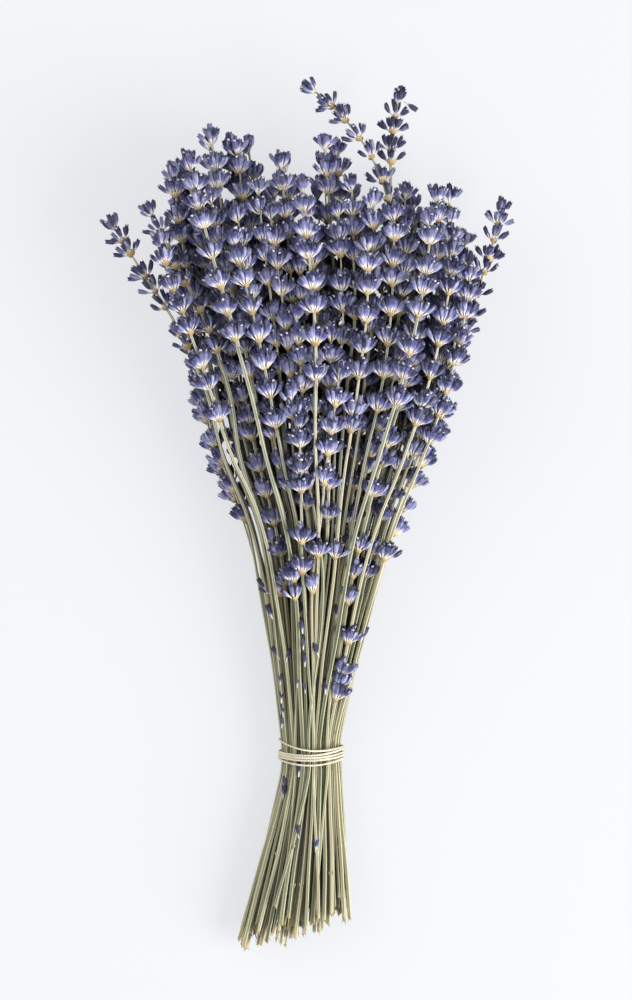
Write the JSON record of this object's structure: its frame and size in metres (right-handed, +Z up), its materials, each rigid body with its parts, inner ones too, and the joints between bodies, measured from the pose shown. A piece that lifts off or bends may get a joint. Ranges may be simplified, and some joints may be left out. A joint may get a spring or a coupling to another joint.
{
  "type": "bunch of dried lavender",
  "caption": "Bunch of dried lavender lying on a surface: fanned flower spikes on long square stems, bound with raffia above their cut ends.",
  "frame": {"origin": "on the surface that the bunch lies on, under the middle of its bounding box", "axes": "+Y from the cut ends towards the flower spikes, +X across the bunch to the right as seen from above, +Z up"},
  "size_m": [0.1822, 0.3988, 0.0674],
  "materials": {
    "stem": "dry grey-green to straw stem, faintly ridged, matt",
    "flower": "dried violet calyxes with pale bases and tan bracts, downy and matt",
    "raffia": "cream raffia strand, fibrous, with a slight sheen"
  },
  "bodies": {
    "root": {"binding": "raffia", "spike_0": "flower", "spike_13": "flower", "spike_2": "flower", "spike_21": "flower", "spike_25": "flower", "spike_28": "flower", "spike_30": "flower", "spike_31": "flower", "spike_33": "flower", "spike_38": "flower", "spike_39": "flower", "spike_46": "flower", "spike_47": "flower", "spike_48": "flower", "spike_5": "flower", "spike_50": "flower", "spike_52": "flower", "spike_54": "flower", "spike_56": "flower", "spike_62": "flower", "spike_64": "flower", "spike_69": "flower", "spike_72": "flower", "spike_75": "flower", "spikes_11_22": "flower", "spikes_14_26": "flower", "spikes_15_16": "flower", "spikes_17_18": "flower", "spikes_19_32": "flower", "spikes_1_8": "flower", "spikes_23_24": "flower", "spikes_27_40": "flower", "spikes_29_55": "flower", "spikes_34_59": "flower", "spikes_35_49": "flower", "spikes_36_37": "flower", "spikes_3_10": "flower", "spikes_41_53": "flower", "spikes_42_65": "flower", "spikes_43_44": "flower", "spikes_45_57": "flower", "spikes_4_12": "flower", "spikes_51_63": "flower", "spikes_58_68": "flower", "spikes_60_76": "flower", "spikes_61_70": "flower", "spikes_66_67": "flower", "spikes_6_7": "flower", "spikes_71_77": "flower", "spikes_73_74": "flower", "spikes_9_20": "flower", "stems_1": "stem", "stems_2": "stem", "stems_3": "stem", "stems_4": "stem", "stems_5": "stem", "stems_6": "stem", "stems_7": "stem", "stems_8": "stem"}
  },
  "joints": []
}
